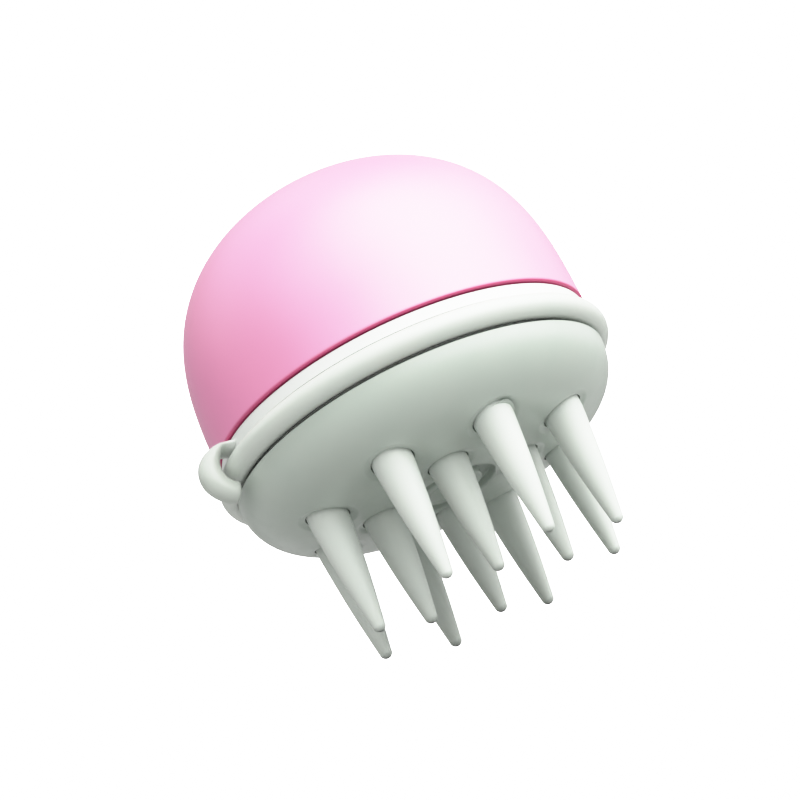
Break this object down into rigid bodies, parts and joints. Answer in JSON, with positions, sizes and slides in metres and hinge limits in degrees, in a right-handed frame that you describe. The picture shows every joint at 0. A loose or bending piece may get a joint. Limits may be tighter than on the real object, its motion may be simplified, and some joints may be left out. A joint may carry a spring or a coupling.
{
  "type": "scalp massager brush",
  "caption": "Hand-held scalp massager brush: a domed palm handle, an elastic strap ring held by a hook, and a shallow head of rocking tapered pins.",
  "frame": {"origin": "centre of the hub cap's flat outer face, on the brush axis, on the underside of the head", "axes": "+Z along the brush axis from the pins to the crown of the dome; the strap hook is on the -X side"},
  "size_m": [0.0864, 0.0808, 0.0887],
  "materials": {
    "pink_shell": "satin pearl pink",
    "mint_shell": "satin pale mint grey",
    "mint_rubber": "smooth pale mint elastomer",
    "mint_soft": "smooth pale mint",
    "foam": "closed-cell foam",
    "black_rubber": "matt dark rubber",
    "nylon": "moulded nylon",
    "zinc": "zinc plated"
  },
  "bodies": {
    "brush_body": {"dome_shell": "pink_shell", "collar": "mint_shell", "head_shell": "mint_shell", "seal_ring": "black_rubber", "cushion_pad": "foam", "backing_plate": "nylon", "hub_cap": "mint_shell", "centre_washer": "zinc", "centre_screw": "zinc", "plate_screw_1": "zinc", "plate_screw_2": "zinc", "plate_screw_3": "zinc", "plate_screw_4": "zinc"},
    "strap": {"strap_ring": "mint_rubber"},
    "pin_outer_1": {"pin_outer_1": "mint_soft"},
    "pin_outer_2": {"pin_outer_2": "mint_soft"},
    "pin_outer_3": {"pin_outer_3": "mint_soft"},
    "pin_outer_4": {"pin_outer_4": "mint_soft"},
    "pin_outer_5": {"pin_outer_5": "mint_soft"},
    "pin_outer_6": {"pin_outer_6": "mint_soft"},
    "pin_outer_7": {"pin_outer_7": "mint_soft"},
    "pin_outer_8": {"pin_outer_8": "mint_soft"},
    "pin_inner_1": {"pin_inner_1": "mint_soft"},
    "pin_inner_2": {"pin_inner_2": "mint_soft"},
    "pin_inner_3": {"pin_inner_3": "mint_soft"},
    "pin_inner_4": {"pin_inner_4": "mint_soft"}
  },
  "joints": [
    {"name": "strap_swing", "type": "hinge", "parent": "brush_body", "child": "strap", "pos_m": [-0.03805, 0, 0.01615], "axis": [0, -1, 0], "range_deg": [0, 180], "deforming": ["strap_ring"]},
    {"name": "pin_outer_1_rock", "type": "hinge", "parent": "brush_body", "child": "pin_outer_1", "pos_m": [0.0258, 0, 0.0032], "axis": [0, -1, 0], "range_deg": [-6, 6], "stiffness_Nm_per_rad": 0.05},
    {"name": "pin_outer_2_rock", "type": "hinge", "parent": "brush_body", "child": "pin_outer_2", "pos_m": [0.01824, 0.01824, 0.0032], "axis": [0.7071, -0.7071, 0], "range_deg": [-6, 6], "stiffness_Nm_per_rad": 0.05},
    {"name": "pin_outer_3_rock", "type": "hinge", "parent": "brush_body", "child": "pin_outer_3", "pos_m": [0, 0.0258, 0.0032], "axis": [1, 0, 0], "range_deg": [-6, 6], "stiffness_Nm_per_rad": 0.05},
    {"name": "pin_outer_4_rock", "type": "hinge", "parent": "brush_body", "child": "pin_outer_4", "pos_m": [-0.01824, 0.01824, 0.0032], "axis": [0.7071, 0.7071, 0], "range_deg": [-6, 6], "stiffness_Nm_per_rad": 0.05},
    {"name": "pin_outer_5_rock", "type": "hinge", "parent": "brush_body", "child": "pin_outer_5", "pos_m": [-0.0258, 0, 0.0032], "axis": [0, 1, 0], "range_deg": [-6, 6], "stiffness_Nm_per_rad": 0.05},
    {"name": "pin_outer_6_rock", "type": "hinge", "parent": "brush_body", "child": "pin_outer_6", "pos_m": [-0.01824, -0.01824, 0.0032], "axis": [-0.7071, 0.7071, 0], "range_deg": [-6, 6], "stiffness_Nm_per_rad": 0.05},
    {"name": "pin_outer_7_rock", "type": "hinge", "parent": "brush_body", "child": "pin_outer_7", "pos_m": [0, -0.0258, 0.0032], "axis": [-1, 0, 0], "range_deg": [-6, 6], "stiffness_Nm_per_rad": 0.05},
    {"name": "pin_outer_8_rock", "type": "hinge", "parent": "brush_body", "child": "pin_outer_8", "pos_m": [0.01824, -0.01824, 0.0032], "axis": [-0.7071, -0.7071, 0], "range_deg": [-6, 6], "stiffness_Nm_per_rad": 0.05},
    {"name": "pin_inner_1_rock", "type": "hinge", "parent": "brush_body", "child": "pin_inner_1", "pos_m": [0.00536, 0.01293, 0.00191], "axis": [0.9239, -0.3827, 0], "range_deg": [-6, 6], "stiffness_Nm_per_rad": 0.05},
    {"name": "pin_inner_2_rock", "type": "hinge", "parent": "brush_body", "child": "pin_inner_2", "pos_m": [-0.01293, 0.00536, 0.00191], "axis": [0.3827, 0.9239, 0], "range_deg": [-6, 6], "stiffness_Nm_per_rad": 0.05},
    {"name": "pin_inner_3_rock", "type": "hinge", "parent": "brush_body", "child": "pin_inner_3", "pos_m": [-0.00536, -0.01293, 0.00191], "axis": [-0.9239, 0.3827, 0], "range_deg": [-6, 6], "stiffness_Nm_per_rad": 0.05},
    {"name": "pin_inner_4_rock", "type": "hinge", "parent": "brush_body", "child": "pin_inner_4", "pos_m": [0.01293, -0.00536, 0.00191], "axis": [-0.3827, -0.9239, 0], "range_deg": [-6, 6], "stiffness_Nm_per_rad": 0.05}
  ]
}
